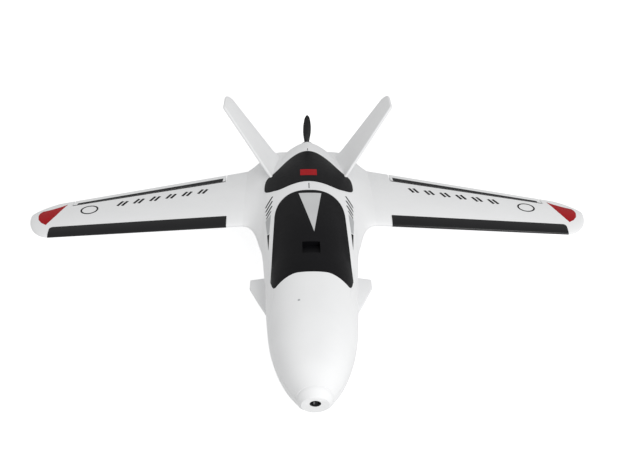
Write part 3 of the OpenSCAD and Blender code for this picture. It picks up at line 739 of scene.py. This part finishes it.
sunk = Matrix.Translation((0, (BEZEL_R - 1.5) * math.sin(rad(CAMERA_TILT)), 0))
bezel_profile = [
    (0.01, -NOSE_Y), (12.4, -NOSE_Y), (13.4, -NOSE_Y + 0.4), (14.2, -NOSE_Y + 1.2), (16.4, -298),
    (18.9, -294.8), (20.95, BODY_FRONT), (20.95, BODY_FRONT + 2), (0.01, BODY_FRONT + 2),
]
bezel = lathe("bezel", bezel_profile, Matrix.Translation((0, 0, BEZEL_Z)))
lens_frame = sunk @ camera_frame
before_face = box((-40, -40, -40), (40, 0, 40), lens_frame)
cut(bezel, before_face, prism(circle(LENS_R, 64), -20, 40, "y", lens_frame))
paint(bezel, "foam", "plastic")
to_lens = lens_frame.inverted()
for face in bezel.data.polygons:
    c = to_lens @ (face.center / MM)
    inside = math.hypot(c.x, c.z) < LENS_R + 0.1 and abs((to_lens.to_3x3() @ face.normal).y) < 0.5
    face.material_index = 1 if inside else 0
place(shade(bezel), "camera_bezel_ring", "airframe", None, "white_plastic", ["camera_bezel"])
barrel_profile = [
    (0.01, 12), (0.01, 4.2), (1.6, 4.4), (3, 4.9), (3.6, 5.6), (4.2, 4.2), (5, 3.4), (5.7, 0.9),
    (6.35, 0.7), (6.4, 12),
]
lens = lathe("lens", barrel_profile, lens_frame)
place(shade(lens), "camera_lens_barrel", "airframe", "lens", "lens_glass", ["camera_lens"])

# ---------------------------------------------------------------- fins and strakes

FIN_ROOT_X, FIN_ROOT_Z, FIN_FRONT_Y = 60, 83, 155
FIN_ROOT_CHORD, FIN_TIP_CHORD, FIN_SHIFT, FIN_TAB, FIN_TIP_R = 91, 54, 69, 24, 16


def fin_solid():
    slope = FIN_SHIFT / FIN_L
    tip_y = FIN_FRONT_Y + FIN_SHIFT
    rear = tip_y + FIN_TIP_CHORD - FIN_TIP_R
    outline = [
        (FIN_FRONT_Y - slope * FIN_TAB, -FIN_TAB), (FIN_FRONT_Y, 0),
        (tip_y - 2, FIN_L - 4), (tip_y - 0.6, FIN_L - 1.6), (tip_y + 1.4, FIN_L - 0.3),
        (tip_y + 4, FIN_L),
    ]
    outline += [
        (rear + FIN_TIP_R * math.cos(rad(a)), FIN_L - FIN_TIP_R + FIN_TIP_R * math.sin(rad(a)))
        for a in range(90, -1, -10)
    ]
    outline += [(FIN_FRONT_Y + FIN_ROOT_CHORD, 0), (FIN_FRONT_Y + FIN_ROOT_CHORD, -FIN_TAB)]
    lean = Matrix.Translation((FIN_ROOT_X, 0, FIN_ROOT_Z)) @ Matrix.Rotation(rad(FIN_CANT), 4, "Y")
    return bevel(prism(outline, -FIN_T / 2, FIN_T / 2, "x", lean), 2.3, 5)


STRAKE = [(50, -129), (60, -129), (72, -103), (84.5, -73), (84.5, -55), (62, -50), (50, -50)]
fin = fin_solid()
strake = bevel(prism(STRAKE, 35, 39), 1.2, 3)
for side, sign in SIDES.items():
    for source, name, node in ((fin, "fin_foam_", "fin_"), (strake, "strake_foam_", "nose_strake_")):
        piece = copy_of(source) if sign > 0 else mirrored(source)
        place(shade(piece), name + side, "airframe", "foam", "foam", [node + side])
bpy.data.objects.remove(fin)
bpy.data.objects.remove(strake)

# ---------------------------------------------------------------- wings and elevons

GUARD_IN, GUARD_OUT, GUARD_CHORD, GUARD_T, GUARD_ROUND = 125, TIP_X, 17, 0.6, 5
HINGE_SETS = (0.12, 0.5, 0.88)


def wing_solid(n=44):
    places = [ROOT_X + (TIP_X - ROOT_X) * i / 40 for i in range(40)]
    places += [TIP_X + math.sin(math.pi / 2 * i / 28) * (HALF_SPAN - TIP_X) * 0.9995 for i in range(29)]
    rings = []
    for x in places:
        le = wing_le(x)
        rings.append([
            airfoil_point(
                x, le, wing_te(x) - le, wing_mid(x),
                math.sin(math.pi / 2 * i / n) ** 2, -1 if i < 0 else 1,
            )
            for i in range(n, -n - 1, -1)
        ])
    return loft("wing", rings)


def elevon_space():
    space = box((-40, -HINGE_GAP, -30), (290, 90, 30), chord_frame(ELEVON_IN, HINGE_AT))
    return boolean(space, box((ELEVON_IN, -400, -50), (ELEVON_OUT, 400, 250)), "INTERSECT")


def hinge_holes():
    for u in HINGE_SETS:
        matrix = chord_frame(ELEVON_IN + u * (ELEVON_OUT - ELEVON_IN), HINGE_AT)
        yield prism(circle(2, 24), -4.6, 4.6, "x", matrix)


wing = cut(wing_solid(), elevon_space())
link_frame = chord_frame(LINK_X, HINGE_AT)
cut(wing, box((3, -ROD_L - 7.5, -20), (27.5, -ROD_L + 17.5, 6.5), link_frame))
cut(wing, box((-3.5, -ROD_L - 9, -20), (3.5, -ROD_L + 9, 5), link_frame), *hinge_holes())

elevon = boolean(
    wing_solid(), box((ELEVON_IN + END_GAP, -400, -50), (ELEVON_OUT - END_GAP, 400, 250)), "INTERSECT"
)
slant = HINGE_GAP + 20 * math.tan(rad(BEVEL))
wedge = [(HINGE_GAP, 0), (slant, 20), (90, 20), (90, -20), (slant, -20)]
boolean(elevon, prism(wedge, -40, 290, "x", chord_frame(ELEVON_IN, HINGE_AT)), "INTERSECT")
cut(elevon, *hinge_holes())
paint(elevon, "foam", "film")
to_hinge = chord_frame(ELEVON_IN, HINGE_AT).inverted()
# The elevon's upper bevel faces in the hinge gap take the black film colour: painted shade of the hinge
# gap, run together with the black stripe.
for face in elevon.data.polygons:
    c = to_hinge @ (face.center / MM)
    on_shaded_bevel = abs(c.y - HINGE_GAP - c.z * math.tan(rad(BEVEL))) < 0.1 and c.z > 0
    face.material_index = 1 if on_shaded_bevel else 0
wing_surface, elevon_surface = surface_of(wing), surface_of(elevon)


def guard_ring(x):
    le = wing_le(x)
    chord = wing_te(x) - le
    corner = min(GUARD_OUT - x, x - GUARD_IN + 3) / GUARD_ROUND
    last = GUARD_CHORD * (0.72 + 0.28 * math.sqrt(1 - (1 - min(corner, 1)) ** 2)) / chord
    n = 16
    rows = [last * (i / n) ** 2 for i in range(n + 1)]

    def row(i, side, grow):
        return airfoil_point(x, le, chord, wing_mid(x), rows[i], side, grow)

    ring = [row(i, 1, GUARD_T) for i in range(n, -1, -1)]
    ring += [row(i, -1, GUARD_T) for i in range(1, n + 1)]
    ring += [row(i, -1, 0.02) for i in range(n, 0, -1)]
    return ring + [row(i, 1, 0.02) for i in range(n + 1)]


guard_places = [
    GUARD_IN + (GUARD_OUT - GUARD_IN) * (1 - math.cos(math.pi * i / 80)) / 2 for i in range(81)
]
guard = loft("guard", [guard_ring(x) for x in guard_places])


def hinge_y(x):
    return at_chord(x, HINGE_AT).y


def elevon_stripe():
    inner, outer = 139.5, 362
    return [
        (inner, hinge_y(inner) + 2.8), (inner, hinge_y(inner) + 17),
        (outer, hinge_y(outer) + 7.5), (outer, hinge_y(outer) + 2.2),
    ]


TIP_MARK = [
    (411, 101), (403, 103), (395, 106.5), (386, 112.5), (377, 121), (381, 104), (385, 86), (390, 70),
    (394.5, 58.5), (403, 65), (410, 75), (413.5, 87), (413.5, 95),
]
TEXT_START, TEXT_END, TEXT_MARKS = (168, 143), (290, 114), 6


def text_marks():
    """Plain slanted strokes in place of lettering."""
    a, b = Vector(TEXT_START), Vector(TEXT_END)
    for i in range(TEXT_MARKS):
        c = a + (b - a) * i / (TEXT_MARKS - 1)
        for dx in (-3.6, 3.6):
            yield strip((c.x + dx - 3, c.y + 7.5), (c.x + dx + 3, c.y - 7.5), 4)


# [x, y, outer radius, inner radius]
RING_MARK = 338, 98, 13.5, 11


def ring_halves(x, y, outer, inner):
    """A ring as two halves, so that each is one plain outline."""
    for turn in (0, math.pi):
        angles = [turn + math.pi * i / 24 for i in range(25)]
        yield (
            [(x + outer * math.cos(a), y + outer * math.sin(a)) for a in angles]
            + [(x + inner * math.cos(a), y + inner * math.sin(a)) for a in reversed(angles)]
        )


wing_films = [("tip_mark", TIP_MARK, "red")]
wing_films += [("text_mark_%d" % (i + 1), stroke, "film") for i, stroke in enumerate(text_marks())]
for i, half in enumerate(ring_halves(*RING_MARK)):
    wing_films.append(("ring_mark_%d" % (i + 1), half, "film"))
stripe = film("elevon_stripe", elevon_stripe(), elevon_surface)
pieces = [
    (wing, "wing_foam_", "airframe", "foam", "foam", "wing_"),
    (guard, "edge_guard_strip_", "airframe", "guard", "black_skin", "edge_guard_"),
    (elevon, "elevon_foam_", "elevon_", None, "foam", "elevon_"),
    (stripe, "elevon_stripe_", "elevon_", "film", None, None),
]
for name, outline, look in wing_films:
    pieces.append((film(name, outline, wing_surface), name + "_", "airframe", look, None, None))
for source, name, body, look, slot, node in pieces:
    for side, sign in SIDES.items():
        piece = copy_of(source) if sign > 0 else mirrored(source)
        on = body + side if body.endswith("_") else body
        place(shade(piece), name + side, on, look, slot, [node + side] if node else ())
    bpy.data.objects.remove(source)
bpy.data.objects.remove(skin)

# ---------------------------------------------------------------- propeller

BLADE_ROWS = [
    (0.09, 9, 46), (0.25, 12.5, 38), (0.45, 15, 28), (0.65, 14.5, 22), (0.82, 11.5, 18),
    (0.94, 8, 16), (1, 5, 15),
]


def blade_ring(u, n=14):
    chord, pitch = curve_at(BLADE_ROWS, u, 1), rad(curve_at(BLADE_ROWS, u, 2))
    chord *= math.sqrt(max(1 - ((u - 0.9) / 0.1) ** 2, 0.02)) if u > 0.9 else 1
    shape = [(i / n - 0.5, -0.02 * math.sin(math.pi * i / n)) for i in range(n + 1)]
    shape += [(i / n - 0.5, 0.012 + 0.1 * math.sin(math.pi * i / n) ** 0.8) for i in range(n, -1, -1)]
    return [
        (
            chord * (a * math.cos(pitch) - b * math.sin(pitch)),
            chord * (a * math.sin(pitch) + b * math.cos(pitch)),
            u * PROP_R,
        )
        for a, b in shape
    ]


hub_mid = Matrix.Translation((0, HUB_Y + HUB_H / 2, MOTOR_Z))
hub_profile = [(2.5, -3.5), (5.9, -3.5), (6.5, -2.9), (6.5, 2.9), (5.9, 3.5), (2.5, 3.5)]
propeller = lathe("propeller", hub_profile, hub_mid)
places = [0.06 + 0.94 * i / 44 for i in range(45)]
for i in range(BLADES):
    turn = Matrix.Rotation(2 * math.pi * i / BLADES, 4, "Y")
    blade = loft("blade", [blade_ring(u) for u in places], hub_mid @ turn)
    boolean(propeller, blade, "UNION")
cut(propeller, prism(circle(2.5, 48, 0, MOTOR_Z), HUB_Y - 1, HUB_Y + HUB_H + 1, "y"))
place(shade(propeller), "propeller_blades", "rotor", "prop", "prop_plastic", ["propeller"])

# ---------------------------------------------------------------- CAD nodes that stay

KEPT = {
    "plastic": ["belly_skid", "camera_body", "spar_joiner", "wing_hinges_left", "wing_hinges_right",
                "elevon_hinges_left", "elevon_hinges_right", "control_horn_left", "control_horn_right",
                "board_standoffs", "receiver", "motor_mount"],
    "magnet": ["canopy_magnets", "body_magnets", "rotor_magnets"],
    "carbon": ["spar_left", "spar_right", "battery_tray"],
    "steel": ["wing_screws", "hinge_pins_left", "hinge_pins_right", "pushrod_left", "pushrod_right",
              "arm_screws_left", "arm_screws_right", "mount_screws", "motor_screws", "motor_bearings",
              "prop_nut"],
    "servo": ["servo_left", "servo_right"],
    "shell": ["servo_arm_left", "servo_arm_right"],
    "wrap": ["battery"],
    "strap": ["battery_strap"],
    "board": ["speed_controller", "flight_controller"],
    "copper": ["motor_stator"],
    "motor": ["motor_bell"],
}
for look, names in KEPT.items():
    for name in names:
        paint(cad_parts[name], look)

# ---------------------------------------------------------------- studio

floor_mat = material("floor", (0.93, 0.93, 0.93), 0.7, grain(4, 0.02, 0.05), 0.01)
floor_shader = floor_mat.node_tree.nodes["Principled BSDF"]
floor_shader.inputs["Emission Color"].default_value = (1, 1, 1, 1)
floor_shader.inputs["Emission Strength"].default_value = 0.46
floor = prism(circle(6000, 64), -2, -0.2)
floor.name = "floor"
floor.data.materials.append(floor_mat)
# Without this the white floor would light the model's sides until they vanish against it.
floor.visible_diffuse = False

world = bpy.data.worlds.new("studio")
world.use_nodes = True
backdrop = world.node_tree.nodes["Background"]
backdrop.inputs["Color"].default_value = (1, 1, 1, 1)
backdrop.inputs["Strength"].default_value = 0.67
bpy.context.scene.world = world


def area_light(name, place_m, target_m, size, energy):
    lamp = bpy.data.lights.new(name, "AREA")
    lamp.shape = "DISK"
    lamp.size = size
    lamp.energy = energy
    obj = bpy.data.objects.new(name, lamp)
    obj.location = place_m
    aim = Vector(target_m) - Vector(place_m)
    obj.rotation_euler = aim.to_track_quat("-Z", "Y").to_euler()
    bpy.context.scene.collection.objects.link(obj)


area_light("key", (0.85, -1.6, 1.1), (0, 0, 0.05), 1.2, 20)

CAMERA_PLACE_M = (-0.0212, -0.8852, 0.6784)
LENS_MM = 43.548
YAW, DOWN, ROLL = rad(1.347), rad(34), rad(0.42)
forward = Vector((math.sin(YAW) * math.cos(DOWN), math.cos(YAW) * math.cos(DOWN), -math.sin(DOWN)))
right = Vector((math.cos(YAW), -math.sin(YAW), 0))
up = right.cross(forward)
camera_x = right * math.cos(ROLL) + up * math.sin(ROLL)
camera_y = up * math.cos(ROLL) - right * math.sin(ROLL)
lens_data = bpy.data.cameras.new("camera")
lens_data.sensor_width = 36
lens_data.lens = LENS_MM
lens_data.clip_start = 0.01
camera = bpy.data.objects.new("camera", lens_data)
camera_turn = Matrix((camera_x, camera_y, -forward)).transposed().to_4x4()
camera.matrix_world = Matrix.Translation(CAMERA_PLACE_M) @ camera_turn
bpy.context.scene.collection.objects.link(camera)
bpy.context.scene.camera = camera
bpy.context.scene.view_settings.view_transform = "Standard"
